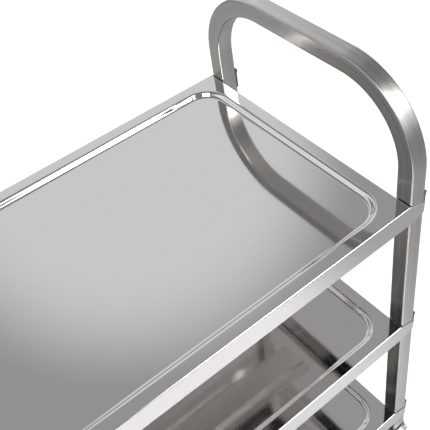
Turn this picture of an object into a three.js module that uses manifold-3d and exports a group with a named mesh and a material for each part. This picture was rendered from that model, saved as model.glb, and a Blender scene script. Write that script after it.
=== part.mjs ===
// A three-tier food service trolley in stainless steel, in millimetres, +Z up.
// X runs along the length (the push end is +X), Y across the width, and the floor is Z = 0.
// Two bent square-tube end frames, each a handle with both of its legs in one length, carry three
// pressed trays. At every corner a clamp plate and a screw pinch the leg to the tray's end flange.
// Four swivel casters stand in the legs, and the two at the push end have brake pedals.
import * as THREE from "three";
import { mergeVertices } from "three/addons/utils/BufferGeometryUtils.js";
import Module from "manifold-3d";

const wasm = await Module();
wasm.setup();

// ---- driving dimensions ----
const TROLLEY_WIDTH = 405; // over the long flanges of the trays
const FRAME_LENGTH = 700; // over the outer faces of the two end frames
const HANDLE_TOP = 855;
const TUBE = 25.4; // square tube, one inch
const TUBE_WALL = 1.2;
const TUBE_CORNER = 2.4;
const BEND_OUTER = 121.5; // outside radius of the handle's two bends
const BEND_STEPS = 7;
const LEG_BOTTOM = 125;

const SHEET = 1.2; // tray and stiffener sheet
const GAP = 0.3; // clearance where two pieces meet
const TOP_SHELF_Z = 688; // upper face of the top tray's rim
const SHELF_PITCH = 252;
const FLANGE_HEIGHT = 33;
const FLANGE_BEND = 2.4; // radius of the fold from rim to flange
const FLANGE_CORNER = 3;
const RIM_WIDTH = 16; // flat rim outside the pressed step
const STEP_WIDTH = 12;
const RECESS_DEPTH = 7;
const RECESS_CORNER = 43;
const CORNER_STEPS = 4;
const EAR_TIP_CUT = 7; // how far the ear narrows, above and below, towards its tip

const STIFFENER_LENGTH = 560;
const STIFFENER_CROWN = 40;
const STIFFENER_BRIM = 14;
const STIFFENER_HEIGHT = 13;

const PLATE_THICKNESS = 2;
const PLATE_WIDTH = 24;
const PLATE_DROP = 27; // how far the plate reaches below the rim
const PLATE_LIP = 6; // height of the flared lip
const PLATE_FLARE = 2.2; // how far the lip leans out
const SCREW_DROP = 17; // screw axis below the rim
const SCREW_RADIUS = 3; // M6
const SCREW_HOLE = 3.4;
const SCREW_HEAD_RADIUS = 5.6;
const SCREW_HEAD_HEIGHT = 2.9;
const SCREW_TIP_PAST_FLANGE = 9;
const SCREW_SIDES = 8;

const PLUG_FLANGE = 2.6;
const PLUG_DEPTH = 24;
const STEM_RADIUS = 6; // M12 caster stem
const STEM_TOP = 152;

const WHEEL_RADIUS = 50;
const TYRE_WIDTH = 26;
const TYRE_INNER = 36.4;
const HUB_RADIUS = 36;
const HUB_WIDTH = 29;
const AXLE_RADIUS = 4;
const CASTER_TRAIL = 34; // axle behind the swivel axis
const WHEEL_SIDES = 20; // flats touch the floor, so the tread's edges stand slightly outside its radius
const FORK_INNER = 15.4; // half the gap between the fork's cheeks
const FORK_SHEET = 2.6;
const FORK_CROWN = 107.6; // underside of the fork's crown
const FORK_FRONT = 17; // the fork's front edge ahead of the swivel axis
const FORK_BACK = 30; // the crown's back edge behind it
const EYE_RADIUS = 11; // the cheek's round end at the axle
const EYE_START = -0.3; // angle at which a cheek's front edge meets the eye round the axle
const CAP_RADIUS = 19.6;
const CAP_HEIGHT = 4.6; // the still race cap stands this far over the turning race
const CAP_SLOPE = 5; // width of the cap's sloping shoulder
const COLLAR_RADIUS = 10; // spacer between the cap and the leg's plug
const KINGPIN_RADIUS = 5;
const KINGPIN_HEAD_RADIUS = 8;
const KINGPIN_HEAD_HEIGHT = 3;
const KINGPIN_PLAY = 0.4; // between the riveted head and the crown
const RACE_TOP = 114.6; // top of the turning ball race
const RACE_RADIUS = CAP_RADIUS + 0.8;
const RACE_FOOT_RADIUS = 19;
const SWIVEL_SIDES = 16;
const BOLT_HEAD_RADIUS = 7.5;
const BOLT_HEAD_HEIGHT = 5;
const NUT_HEIGHT = 7;
const NUT_DOME = 1.5; // the locking nut's rounded top
const AXLE_SIDES = 10;
const BOSS_RADIUS = 11;
const WEB_HALF_THICKNESS = 5;
const HUB_RIM = 5; // thickness of the hub's outer ring
const PEDAL_PIN_X = -CASTER_TRAIL - 30; // the pedal's pin is behind and above the axle, clear of the tyre
const PEDAL_PIN_Z = WHEEL_RADIUS + 47;
const PIN_LUG = 7; // radius of the fork's lugs round that pin
const PEDAL_PIN_RADIUS = 2.5;
const PIN_HEAD_RADIUS = 4.2;
const PIN_HEAD_HEIGHT = 1.6;
const PIN_SIDES = 8;
const BORE_LENGTH = 60; // more than the width of anything it goes through
const PEDAL_WIDTH = 26;

const LEG_X = FRAME_LENGTH / 2 - TUBE / 2;
const SHELF_HALF_LENGTH = FRAME_LENGTH / 2 - TUBE - GAP;
const SHELF_HALF_WIDTH = TROLLEY_WIDTH / 2;
const LEG_Y = SHELF_HALF_WIDTH - SHEET - GAP - TUBE / 2;
const SHELVES = [
  { name: "top", z: TOP_SHELF_Z },
  { name: "middle", z: TOP_SHELF_Z - SHELF_PITCH },
  { name: "bottom", z: TOP_SHELF_Z - 2 * SHELF_PITCH },
];
const ENDS = [
  { name: "push", sign: 1 },
  { name: "pull", sign: -1 },
];
const SIDES = [
  { name: "left", sign: 1 },
  { name: "right", sign: -1 },
];

// ---- finishes ----
const finish = (color, roughness, metalness) =>
  new THREE.MeshStandardMaterial({ color, roughness, metalness });
const TUBE_STEEL = finish(0xb4b3ae, 0.3, 1);
const TRAY_STEEL = finish(0xc6c4be, 0.22, 1);
const STAMPED_STEEL = finish(0xaeada8, 0.35, 1);
const SCREW_STEEL = finish(0xc9c9c6, 0.25, 1);
const ZINC = finish(0xb9bcc0, 0.3, 1);
const BLACK_PLASTIC = finish(0x17181a, 0.55, 0);
const HUB_PLASTIC = finish(0x6d7074, 0.5, 0);
const GREY_RUBBER = finish(0x3a3c3f, 0.75, 0);
const PEDAL_PLASTIC = finish(0x1b1c1e, 0.5, 0);

// ---- solids: manifold-3d only joins and cuts ----
function solidOf(geometry) {
  const bare = new THREE.BufferGeometry();
  bare.setAttribute("position", geometry.getAttribute("position"));
  if (geometry.index) bare.setIndex(geometry.index);
  const merged = mergeVertices(bare, 1e-3);
  return new wasm.Manifold(
    new wasm.Mesh({
      numProp: 3,
      vertProperties: merged.attributes.position.array,
      triVerts: new Uint32Array(merged.index.array),
    }),
  );
}

function geometryOf(solid) {
  const mesh = solid.getMesh();
  const geometry = new THREE.BufferGeometry();
  geometry.setAttribute("position", new THREE.BufferAttribute(mesh.vertProperties, 3));
  geometry.setIndex(new THREE.BufferAttribute(mesh.triVerts, 1));
  geometry.computeVertexNormals();
  return geometry;
}

function join(...geometries) {
  return geometryOf(geometries.map(solidOf).reduce((all, next) => all.add(next)));
}

function cut(geometry, ...tools) {
  return geometryOf(tools.map(solidOf).reduce((left, tool) => left.subtract(tool), solidOf(geometry)));
}

function cylinderAlong(axis, radius, length, sides, x, y, z) {
  const cylinder = new THREE.CylinderGeometry(radius, radius, length, sides);
  if (axis === "x") cylinder.rotateZ(Math.PI / 2);
  if (axis === "z") cylinder.rotateX(Math.PI / 2);
  return cylinder.translate(x, y, z);
}

// A flat outline with (x, z) points, thickened along Y about y = 0.
function extrudeAcross(shape, width) {
  const solid = new THREE.ExtrudeGeometry(shape, { depth: width, bevelEnabled: false, curveSegments: 6 });
  return solid.rotateX(Math.PI / 2).translate(0, width / 2, 0);
}

// A profile of (radius, height) points turned about the Z axis.
function turned(points, sides) {
  const profile = points.map(([radius, height]) => new THREE.Vector2(radius, height));
  return new THREE.LatheGeometry(profile, sides).rotateX(Math.PI / 2);
}

// ---- end frames ----
function roundedSquare(size, radius, segments) {
  const inner = size / 2 - radius;
  const path = new THREE.Path();
  [
    [inner, inner, 0],
    [-inner, inner, 1],
    [-inner, -inner, 2],
    [inner, -inner, 3],
  ].forEach(([x, y, quarter]) =>
    path.absarc(x, y, radius, (quarter * Math.PI) / 2, ((quarter + 1) * Math.PI) / 2),
  );
  return path.getPoints(segments);
}

// The centreline of one end frame in the plane x = 0: up a leg, over the handle, down the other leg.
// Its parameter steps evenly through stations, which lie close together only in the bends.
class FrameCentreline extends THREE.Curve {
  constructor() {
    super();
    this.radius = BEND_OUTER - TUBE / 2;
    this.bendHeight = HANDLE_TOP - BEND_OUTER;
    this.bendOut = LEG_Y - this.radius;
    this.steps = 2 * BEND_STEPS + 3;
  }

  station(u) {
    const s = u * this.steps;
    if (s <= 1) return { y: -LEG_Y, z: THREE.MathUtils.lerp(LEG_BOTTOM, this.bendHeight, s), angle: 0 };
    if (s <= 1 + BEND_STEPS) return this.onBend(-1, ((s - 1) / BEND_STEPS) * (Math.PI / 2));
    if (s <= 2 + BEND_STEPS) {
      const along = s - 1 - BEND_STEPS;
      const y = THREE.MathUtils.lerp(-this.bendOut, this.bendOut, along);
      return { y, z: HANDLE_TOP - TUBE / 2, angle: Math.PI / 2 };
    }
    if (s < this.steps - 1) return this.onBend(1, (1 + (s - 2 - BEND_STEPS) / BEND_STEPS) * (Math.PI / 2));
    const down = s - this.steps + 1;
    return { y: LEG_Y, z: THREE.MathUtils.lerp(this.bendHeight, LEG_BOTTOM, down), angle: Math.PI };
  }

  onBend(side, angle) {
    return {
      y: side * this.bendOut - this.radius * Math.cos(angle),
      z: this.bendHeight + this.radius * Math.sin(angle),
      angle,
    };
  }

  getPoint(u, target = new THREE.Vector3()) {
    const { y, z } = this.station(u);
    return target.set(0, y, z);
  }

  getPointAt(u, target) {
    return this.getPoint(u, target);
  }

  getTangentAt(u, target = new THREE.Vector3()) {
    const { angle } = this.station(u);
    return target.set(0, Math.sin(angle), Math.cos(angle));
  }
}

function endFrame() {
  const section = new THREE.Shape(roundedSquare(TUBE, TUBE_CORNER, 1));
  section.holes.push(new THREE.Path(roundedSquare(TUBE - 2 * TUBE_WALL, TUBE_CORNER - TUBE_WALL, 1)));
  const centreline = new FrameCentreline();
  const tube = new THREE.ExtrudeGeometry(section, {
    steps: centreline.steps,
    extrudePath: centreline,
    bevelEnabled: false,
  });
  const holes = SHELVES.flatMap(({ z }) =>
    SIDES.map(({ sign }) =>
      cylinderAlong("x", SCREW_HOLE, 2 * TUBE, SCREW_SIDES, 0, sign * LEG_Y, z - SCREW_DROP),
    ),
  );
  return cut(tube, ...holes);
}

// ---- trays ----
// The tray's upper surface as (inset from the edge, height) points, from the flange's foot to the floor.
function trayProfile() {
  const path = new THREE.Path();
  path.moveTo(0, -FLANGE_HEIGHT);
  path.lineTo(0, -FLANGE_BEND);
  path.quadraticCurveTo(0, 0, FLANGE_BEND, 0);
  path.lineTo(RIM_WIDTH, 0);
  const middle = RIM_WIDTH + STEP_WIDTH / 2;
  path.bezierCurveTo(middle, 0, middle, -RECESS_DEPTH, RIM_WIDTH + STEP_WIDTH, -RECESS_DEPTH);
  return path.getPoints(4);
}

// The same profile one sheet thickness further in.
function offsetProfile(points, distance) {
  return points.map((point, i) => {
    const before = points[Math.max(i - 1, 0)];
    const after = points[Math.min(i + 1, points.length - 1)];
    const along = new THREE.Vector2().subVectors(after, before).normalize();
    return new THREE.Vector2(point.x + along.y * distance, point.y - along.x * distance);
  });
}

// One ring of the tray: a rectangle whose corners are sharp at the rim and wide round the recess.
function trayRing({ x: inset, y: height }) {
  const onFlange = inset < RIM_WIDTH / 2;
  const radius = onFlange ? Math.max(FLANGE_CORNER - inset, 0.8) : RECESS_CORNER + RIM_WIDTH - inset;
  const x = SHELF_HALF_LENGTH - inset - radius;
  const y = SHELF_HALF_WIDTH - inset - radius;
  const ring = [];
  for (let quarter = 0; quarter < 4; quarter += 1)
    for (let step = 0; step <= CORNER_STEPS; step += 1) {
      const angle = ((quarter + step / CORNER_STEPS) * Math.PI) / 2;
      const centreX = quarter === 0 || quarter === 3 ? x : -x;
      const centreY = quarter < 2 ? y : -y;
      ring.push([centreX + radius * Math.cos(angle), centreY + radius * Math.sin(angle), height]);
    }
  return ring;
}

// A closed skin through rings of equal length, with a flat cap over the first and the last.
function loft(rings) {
  const count = rings[0].length;
  const last = (rings.length - 1) * count;
  const positions = rings.flat(2);
  const faces = [];
  for (let r = 0; r < rings.length - 1; r += 1)
    for (let k = 0; k < count; k += 1) {
      const a = r * count + k;
      const b = r * count + ((k + 1) % count);
      faces.push(a, b, b + count, a, b + count, a + count);
    }
  const underCentre = positions.push(0, 0, rings[0][0][2]) / 3 - 1;
  const upperCentre = positions.push(0, 0, rings.at(-1)[0][2]) / 3 - 1;
  for (let k = 0; k < count; k += 1) {
    const next = (k + 1) % count;
    faces.push(next, k, underCentre, last + k, last + next, upperCentre);
  }
  const geometry = new THREE.BufferGeometry();
  geometry.setAttribute("position", new THREE.Float32BufferAttribute(positions, 3));
  geometry.setIndex(faces);
  return geometry;
}

// An ear carries a long flange on over the leg's outer side and narrows to its tip.
function flangeEar(endSign, sideSign) {
  const root = SHELF_HALF_LENGTH - FLANGE_CORNER - 1;
  const tip = FRAME_LENGTH / 2 - 1;
  const outline = new THREE.Shape([
    new THREE.Vector2(root, -FLANGE_BEND),
    new THREE.Vector2(SHELF_HALF_LENGTH + 4, -FLANGE_BEND),
    new THREE.Vector2(tip, -FLANGE_BEND - EAR_TIP_CUT),
    new THREE.Vector2(tip, EAR_TIP_CUT - FLANGE_HEIGHT),
    new THREE.Vector2(SHELF_HALF_LENGTH + 4, -FLANGE_HEIGHT),
    new THREE.Vector2(root, -FLANGE_HEIGHT),
  ]);
  const ear = extrudeAcross(outline, SHEET);
  if (endSign < 0) ear.rotateZ(Math.PI);
  return ear.translate(0, sideSign * (SHELF_HALF_WIDTH - SHEET / 2), 0);
}

function tray() {
  const upper = trayProfile();
  const under = offsetProfile(upper, SHEET).reverse();
  const pressing = loft([...under, ...upper].map(trayRing));
  const corners = ENDS.flatMap((end) => SIDES.map((side) => [end.sign, side.sign]));
  const eared = join(pressing, ...corners.map(([end, side]) => flangeEar(end, side)));
  const holes = corners.map(([end, side]) =>
    cylinderAlong("x", SCREW_HOLE, 12, SCREW_SIDES, end * SHELF_HALF_LENGTH, side * LEG_Y, -SCREW_DROP),
  );
  return cut(eared, ...holes);
}

// A hat-section stiffener, spot welded by its brims under the tray's floor.
function stiffener() {
  const crown = STIFFENER_CROWN / 2;
  const brim = crown + STIFFENER_BRIM;
  const half = [
    [brim, 0],
    [brim, -SHEET],
    [crown + SHEET, -SHEET],
    [crown + SHEET - 3, -STIFFENER_HEIGHT],
  ];
  const inner = [
    [crown - 3, SHEET - STIFFENER_HEIGHT],
    [crown, 0],
  ];
  const mirrored = (points) => points.map(([y, z]) => [-y, z]).reverse();
  const outline = [...half, ...mirrored(half), ...mirrored(inner), ...inner];
  const shape = new THREE.Shape(outline.map(([y, z]) => new THREE.Vector2(y, z)));
  const hat = new THREE.ExtrudeGeometry(shape, { depth: STIFFENER_LENGTH, bevelEnabled: false });
  return hat.rotateX(Math.PI / 2).rotateZ(Math.PI / 2).translate(-STIFFENER_LENGTH / 2, 0, 0);
}

// ---- corner clamps: both are drawn for the push end, with x = 0 on the leg's outer face ----
function clampPlate() {
  const foot = -PLATE_DROP;
  const inner = GAP;
  const outer = GAP + PLATE_THICKNESS;
  const outline = new THREE.Shape([
    new THREE.Vector2(inner, foot),
    new THREE.Vector2(outer, foot),
    new THREE.Vector2(outer, 0),
    new THREE.Vector2(outer + PLATE_FLARE, PLATE_LIP),
    new THREE.Vector2(inner + PLATE_FLARE, PLATE_LIP),
    new THREE.Vector2(inner, 0),
  ]);
  const hole = cylinderAlong("x", SCREW_HOLE, 12, SCREW_SIDES, 0, 0, -SCREW_DROP);
  return cut(extrudeAcross(outline, PLATE_WIDTH), hole);
}

// A button-head screw along X, from its tip inside the tray's end flange to its head on the plate.
function clampScrew() {
  const seat = 2 * GAP + PLATE_THICKNESS;
  const tip = -TUBE - GAP - SHEET - SCREW_TIP_PAST_FLANGE;
  const head = seat + SCREW_HEAD_HEIGHT;
  const profile = [
    [0, tip],
    [SCREW_RADIUS - 0.8, tip],
    [SCREW_RADIUS, tip + 1],
    [SCREW_RADIUS, seat],
    [SCREW_HEAD_RADIUS, seat],
    [SCREW_HEAD_RADIUS, seat + 0.9],
    [SCREW_HEAD_RADIUS * 0.62, head],
    [0, head],
  ];
  return turned(profile, SCREW_SIDES).rotateY(Math.PI / 2);
}

// ---- legs' plugs and casters: drawn about the swivel axis, with the wheel trailing to -X ----
function legPlug() {
  const block = (size, corner, height) =>
    new THREE.ExtrudeGeometry(new THREE.Shape(roundedSquare(size, corner, 1)), {
      depth: height,
      bevelEnabled: false,
    });
  const flange = block(TUBE, TUBE_CORNER, PLUG_FLANGE - GAP).translate(0, 0, -PLUG_FLANGE);
  const body = block(TUBE - 2 * TUBE_WALL - 2 * GAP, 1, PLUG_DEPTH + 1).translate(0, 0, -1);
  const bore = cylinderAlong("z", STEM_RADIUS + 2 * GAP, 4 * PLUG_DEPTH, SWIVEL_SIDES, 0, 0, 0);
  return cut(join(flange, body), bore).translate(0, 0, LEG_BOTTOM);
}

// The still half of the swivel: stem, collar, race cap and kingpin with its riveted head.
function swivelHead() {
  const collarTop = LEG_BOTTOM - PLUG_FLANGE - GAP;
  const capTop = RACE_TOP + CAP_HEIGHT;
  const headTop = FORK_CROWN - KINGPIN_PLAY;
  const headFoot = headTop - KINGPIN_HEAD_HEIGHT;
  return turned(
    [
      [0, headFoot],
      [KINGPIN_HEAD_RADIUS - 1, headFoot],
      [KINGPIN_HEAD_RADIUS, headTop],
      [KINGPIN_RADIUS, headTop],
      [KINGPIN_RADIUS, RACE_TOP + GAP],
      [CAP_RADIUS, RACE_TOP + GAP],
      [CAP_RADIUS, capTop - 2],
      [CAP_RADIUS - CAP_SLOPE, capTop],
      [COLLAR_RADIUS, capTop],
      [COLLAR_RADIUS, collarTop],
      [STEM_RADIUS, collarTop],
      [STEM_RADIUS, STEM_TOP - 1],
      [STEM_RADIUS - 1.2, STEM_TOP],
      [0, STEM_TOP],
    ],
    SWIVEL_SIDES,
  );
}

function forkCheek(withBrake) {
  const crownTop = FORK_CROWN + FORK_SHEET;
  const eyeFront = EYE_RADIUS * Math.cos(EYE_START) - CASTER_TRAIL;
  const shape = new THREE.Shape();
  shape.moveTo(FORK_FRONT, crownTop);
  shape.lineTo(FORK_FRONT, FORK_CROWN - 6);
  shape.lineTo(eyeFront, WHEEL_RADIUS + EYE_RADIUS * Math.sin(EYE_START));
  shape.absarc(-CASTER_TRAIL, WHEEL_RADIUS, EYE_RADIUS, EYE_START, -Math.PI, true);
  if (withBrake) {
    shape.lineTo(PEDAL_PIN_X - PIN_LUG, PEDAL_PIN_Z);
    shape.absarc(PEDAL_PIN_X, PEDAL_PIN_Z, PIN_LUG, Math.PI, Math.PI / 2, true);
  } else {
    shape.lineTo(-FORK_BACK - 4, FORK_CROWN - 8);
    shape.lineTo(-FORK_BACK, crownTop);
  }
  return extrudeAcross(shape, FORK_SHEET);
}

function pedalPinBore() {
  return cylinderAlong("y", PEDAL_PIN_RADIUS + GAP, BORE_LENGTH, PIN_SIDES, 0, 0, 0);
}

function fork(withBrake) {
  const offset = FORK_INNER + FORK_SHEET / 2;
  const cheeks = SIDES.map(({ sign }) => forkCheek(withBrake).translate(0, sign * offset, 0));
  const crownLength = FORK_FRONT + FORK_BACK;
  const crown = new THREE.BoxGeometry(crownLength, 2 * (FORK_INNER + FORK_SHEET), FORK_SHEET);
  crown.translate(FORK_FRONT - crownLength / 2, 0, FORK_CROWN + FORK_SHEET / 2);
  const race = turned(
    [
      [0, FORK_CROWN],
      [RACE_FOOT_RADIUS, FORK_CROWN],
      [RACE_RADIUS, FORK_CROWN + 3],
      [RACE_RADIUS, RACE_TOP],
      [0, RACE_TOP],
    ],
    SWIVEL_SIDES,
  );
  const bores = [
    cylinderAlong("z", KINGPIN_RADIUS + GAP, BORE_LENGTH, SWIVEL_SIDES, 0, 0, FORK_CROWN),
    cylinderAlong("y", AXLE_RADIUS + GAP, BORE_LENGTH, AXLE_SIDES, -CASTER_TRAIL, 0, WHEEL_RADIUS),
  ];
  if (withBrake) bores.push(pedalPinBore().translate(PEDAL_PIN_X, 0, PEDAL_PIN_Z));
  return cut(join(race, crown, ...cheeks), ...bores);
}

// Bolts, pins and wheels are turned about Z, then laid along Y at their centre.
function layAcross(geometry, x, z) {
  return geometry.rotateX(Math.PI / 2).translate(x, 0, z);
}

function turnedWheel(profile) {
  const onItsFlats = turned(profile, WHEEL_SIDES).rotateZ(Math.PI / WHEEL_SIDES);
  return layAcross(onItsFlats, -CASTER_TRAIL, WHEEL_RADIUS);
}

function axleBolt() {
  const shoulder = FORK_INNER + FORK_SHEET + GAP;
  const profile = [
    [0, -shoulder - BOLT_HEAD_HEIGHT],
    [BOLT_HEAD_RADIUS - 0.7, -shoulder - BOLT_HEAD_HEIGHT],
    [BOLT_HEAD_RADIUS, -shoulder - BOLT_HEAD_HEIGHT + 1],
    [BOLT_HEAD_RADIUS, -shoulder],
    [AXLE_RADIUS, -shoulder],
    [AXLE_RADIUS, shoulder],
    [BOLT_HEAD_RADIUS, shoulder],
    [BOLT_HEAD_RADIUS, shoulder + NUT_HEIGHT - NUT_DOME],
    [AXLE_RADIUS + 1, shoulder + NUT_HEIGHT],
    [0, shoulder + NUT_HEIGHT],
  ];
  return layAcross(turned(profile, AXLE_SIDES), -CASTER_TRAIL, WHEEL_RADIUS);
}

function wheelHub() {
  const boss = HUB_WIDTH / 2;
  const rim = TYRE_WIDTH / 2 - 1;
  const rimInner = HUB_RADIUS - HUB_RIM;
  const web = WEB_HALF_THICKNESS;
  const bore = AXLE_RADIUS + GAP;
  const profile = [
    [bore, -boss],
    [BOSS_RADIUS, -boss],
    [BOSS_RADIUS + 2, -web],
    [rimInner, -web],
    [rimInner, -rim],
    [HUB_RADIUS, -rim],
    [HUB_RADIUS, rim],
    [rimInner, rim],
    [rimInner, web],
    [BOSS_RADIUS + 2, web],
    [BOSS_RADIUS, boss],
    [bore, boss],
    [bore, -boss],
  ];
  return turnedWheel(profile);
}

function wheelTyre() {
  const half = TYRE_WIDTH / 2;
  const tread = WHEEL_RADIUS / Math.cos(Math.PI / WHEEL_SIDES);
  const profile = [
    [TYRE_INNER, -half],
    [tread - 5, -half],
    [tread - 1, -half + 3],
    [tread, -half + 7],
    [tread, half - 7],
    [tread - 1, half - 3],
    [tread - 5, half],
    [TYRE_INNER, half],
    [TYRE_INNER, -half],
  ];
  return turnedWheel(profile);
}

// The pedal turns on its pin: pressing the tread down drives the nose below the pin at the tyre.
function brakePedal() {
  const outline = new THREE.Shape([
    new THREE.Vector2(5.5, 2),
    new THREE.Vector2(2, 6),
    new THREE.Vector2(-10, 6),
    new THREE.Vector2(-33, 10),
    new THREE.Vector2(-40, 8),
    new THREE.Vector2(-41, 5),
    new THREE.Vector2(-34, 6),
    new THREE.Vector2(-13, 1),
    new THREE.Vector2(-13, -9),
    new THREE.Vector2(-10, -11),
    new THREE.Vector2(-4, -7),
    new THREE.Vector2(3, -3.5),
  ]);
  const lever = extrudeAcross(outline, PEDAL_WIDTH);
  return cut(lever, pedalPinBore()).translate(PEDAL_PIN_X, 0, PEDAL_PIN_Z);
}

function pedalPin() {
  const shoulder = FORK_INNER + FORK_SHEET + GAP;
  const profile = [
    [0, -shoulder - PIN_HEAD_HEIGHT],
    [PIN_HEAD_RADIUS, -shoulder - PIN_HEAD_HEIGHT],
    [PIN_HEAD_RADIUS, -shoulder],
    [PEDAL_PIN_RADIUS, -shoulder],
    [PEDAL_PIN_RADIUS, shoulder],
    [PIN_HEAD_RADIUS, shoulder],
    [PIN_HEAD_RADIUS, shoulder + PIN_HEAD_HEIGHT],
    [0, shoulder + PIN_HEAD_HEIGHT],
  ];
  return layAcross(turned(profile, PIN_SIDES), PEDAL_PIN_X, PEDAL_PIN_Z);
}

// ---- assembly ----
const trolley = new THREE.Group();

function place(parent, name, geometry, material, x = 0, y = 0, z = 0) {
  const mesh = new THREE.Mesh(geometry, material);
  mesh.name = name;
  mesh.position.set(x, y, z);
  parent.add(mesh);
}

function groupAt(x, y, z, facing) {
  const group = new THREE.Group();
  group.position.set(x, y, z);
  group.rotation.z = facing > 0 ? 0 : Math.PI;
  trolley.add(group);
  return group;
}

const frameGeometry = endFrame();
ENDS.forEach(({ name, sign }) =>
  place(trolley, name + "_end_frame", frameGeometry, TUBE_STEEL, sign * LEG_X, 0, 0),
);

const trayGeometry = tray();
const stiffenerGeometry = stiffener();
const plateGeometry = clampPlate();
const screwGeometry = clampScrew();
SHELVES.forEach((shelf) => {
  place(trolley, shelf.name + "_shelf", trayGeometry, TRAY_STEEL, 0, 0, shelf.z);
  const underFloor = shelf.z - RECESS_DEPTH - SHEET - GAP;
  place(trolley, shelf.name + "_shelf_stiffener", stiffenerGeometry, STAMPED_STEEL, 0, 0, underFloor);
  ENDS.forEach((end) =>
    SIDES.forEach((side) => {
      const corner = groupAt((end.sign * FRAME_LENGTH) / 2, side.sign * LEG_Y, shelf.z, end.sign);
      const prefix = [shelf.name, end.name, side.name].join("_");
      place(corner, prefix + "_clamp_plate", plateGeometry, STAMPED_STEEL);
      place(corner, prefix + "_clamp_screw", screwGeometry, SCREW_STEEL, 0, 0, -SCREW_DROP);
    }),
  );
});

const plugGeometry = legPlug();
const headGeometry = swivelHead();
const axleGeometry = axleBolt();
const hubGeometry = wheelHub();
const tyreGeometry = wheelTyre();
ENDS.forEach((end) =>
  SIDES.forEach((side) => {
    const hasBrake = end.name === "push";
    const leg = groupAt(end.sign * LEG_X, side.sign * LEG_Y, 0, end.sign);
    const prefix = [end.name, side.name].join("_");
    place(leg, prefix + "_leg_plug", plugGeometry, BLACK_PLASTIC);
    place(leg, prefix + "_caster_stem", headGeometry, ZINC);
    place(leg, prefix + "_caster_fork", fork(hasBrake), ZINC);
    place(leg, prefix + "_axle_bolt", axleGeometry, ZINC);
    place(leg, prefix + "_wheel_hub", hubGeometry, HUB_PLASTIC);
    place(leg, prefix + "_wheel_tyre", tyreGeometry, GREY_RUBBER);
    if (hasBrake) {
      place(leg, prefix + "_brake_pedal", brakePedal(), PEDAL_PLASTIC);
      place(leg, prefix + "_pedal_pin", pedalPin(), ZINC);
    }
  }),
);

export default trolley;
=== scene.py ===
"""A three-tier food service trolley in stainless steel, in metres, +Z up.

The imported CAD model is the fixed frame. Each CAD node is stood for by a piece modelled here with
operators, at the same place and size, and dressed in a procedural material.
"""

import logging
import math
from collections.abc import Callable, Iterable, Sequence
from dataclasses import dataclass
from enum import Enum

import bmesh
import bpy
from mathutils import Matrix, Vector


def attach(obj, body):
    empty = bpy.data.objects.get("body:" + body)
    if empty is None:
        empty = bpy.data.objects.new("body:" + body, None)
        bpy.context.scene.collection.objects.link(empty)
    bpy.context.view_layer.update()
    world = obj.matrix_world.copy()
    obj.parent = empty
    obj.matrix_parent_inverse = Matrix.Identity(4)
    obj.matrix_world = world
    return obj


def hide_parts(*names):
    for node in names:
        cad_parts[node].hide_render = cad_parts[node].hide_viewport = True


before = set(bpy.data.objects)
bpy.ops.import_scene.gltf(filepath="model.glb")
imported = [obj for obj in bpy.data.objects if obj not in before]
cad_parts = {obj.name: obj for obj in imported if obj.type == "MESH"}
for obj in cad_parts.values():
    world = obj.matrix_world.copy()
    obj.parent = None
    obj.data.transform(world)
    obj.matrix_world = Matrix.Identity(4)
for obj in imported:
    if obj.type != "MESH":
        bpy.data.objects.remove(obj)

LOG = logging.getLogger("trolley")
MM = 0.001
GAP = 0.3 * MM
TOUCH = 1e-6  # places closer than this count as one
TUBE_MAP = "TubeMap"

TUBE = 25.4 * MM
TUBE_WALL = 1.2 * MM
TUBE_CORNER = 2.4 * MM
LEG_X = 337.3 * MM
LEG_Y = 188.3 * MM
FOOT = 125 * MM  # the legs' lower ends
RIMS = (688 * MM, 436 * MM, 184 * MM)  # the trays' rims, in the order of SHELVES
SCREW_DROP = 17 * MM  # the clamp screws' axes below the rims

Point = Sequence[float]
Profile = Sequence[tuple[float, float]]


class Side(Enum):
    """The trolley's two long sides, by the sign of Y."""

    LEFT = 1
    RIGHT = -1


class End(Enum):
    """The trolley's two ends, by the sign of X."""

    PUSH = 1
    PULL = -1


class Grain(Enum):
    """Which way a metal's brush marks run, as a stretch of the pattern on each axis."""

    ALONG_X = (3.0, 420.0, 420.0)
    ALONG_Z = (420.0, 420.0, 3.0)
    ALONG_UV = (3.0, 420.0, 1.0)
    NONE = (160.0, 160.0, 160.0)


SHELVES = ("top", "middle", "bottom")


# ---- the bench: modelling by operators ----


def deselect_all() -> None:
    """Leaves edit mode and deselects every object."""
    active = bpy.context.view_layer.objects.active
    if active is not None and active.mode != "OBJECT":
        bpy.ops.object.mode_set(mode="OBJECT")
    bpy.ops.object.select_all(action="DESELECT")


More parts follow.
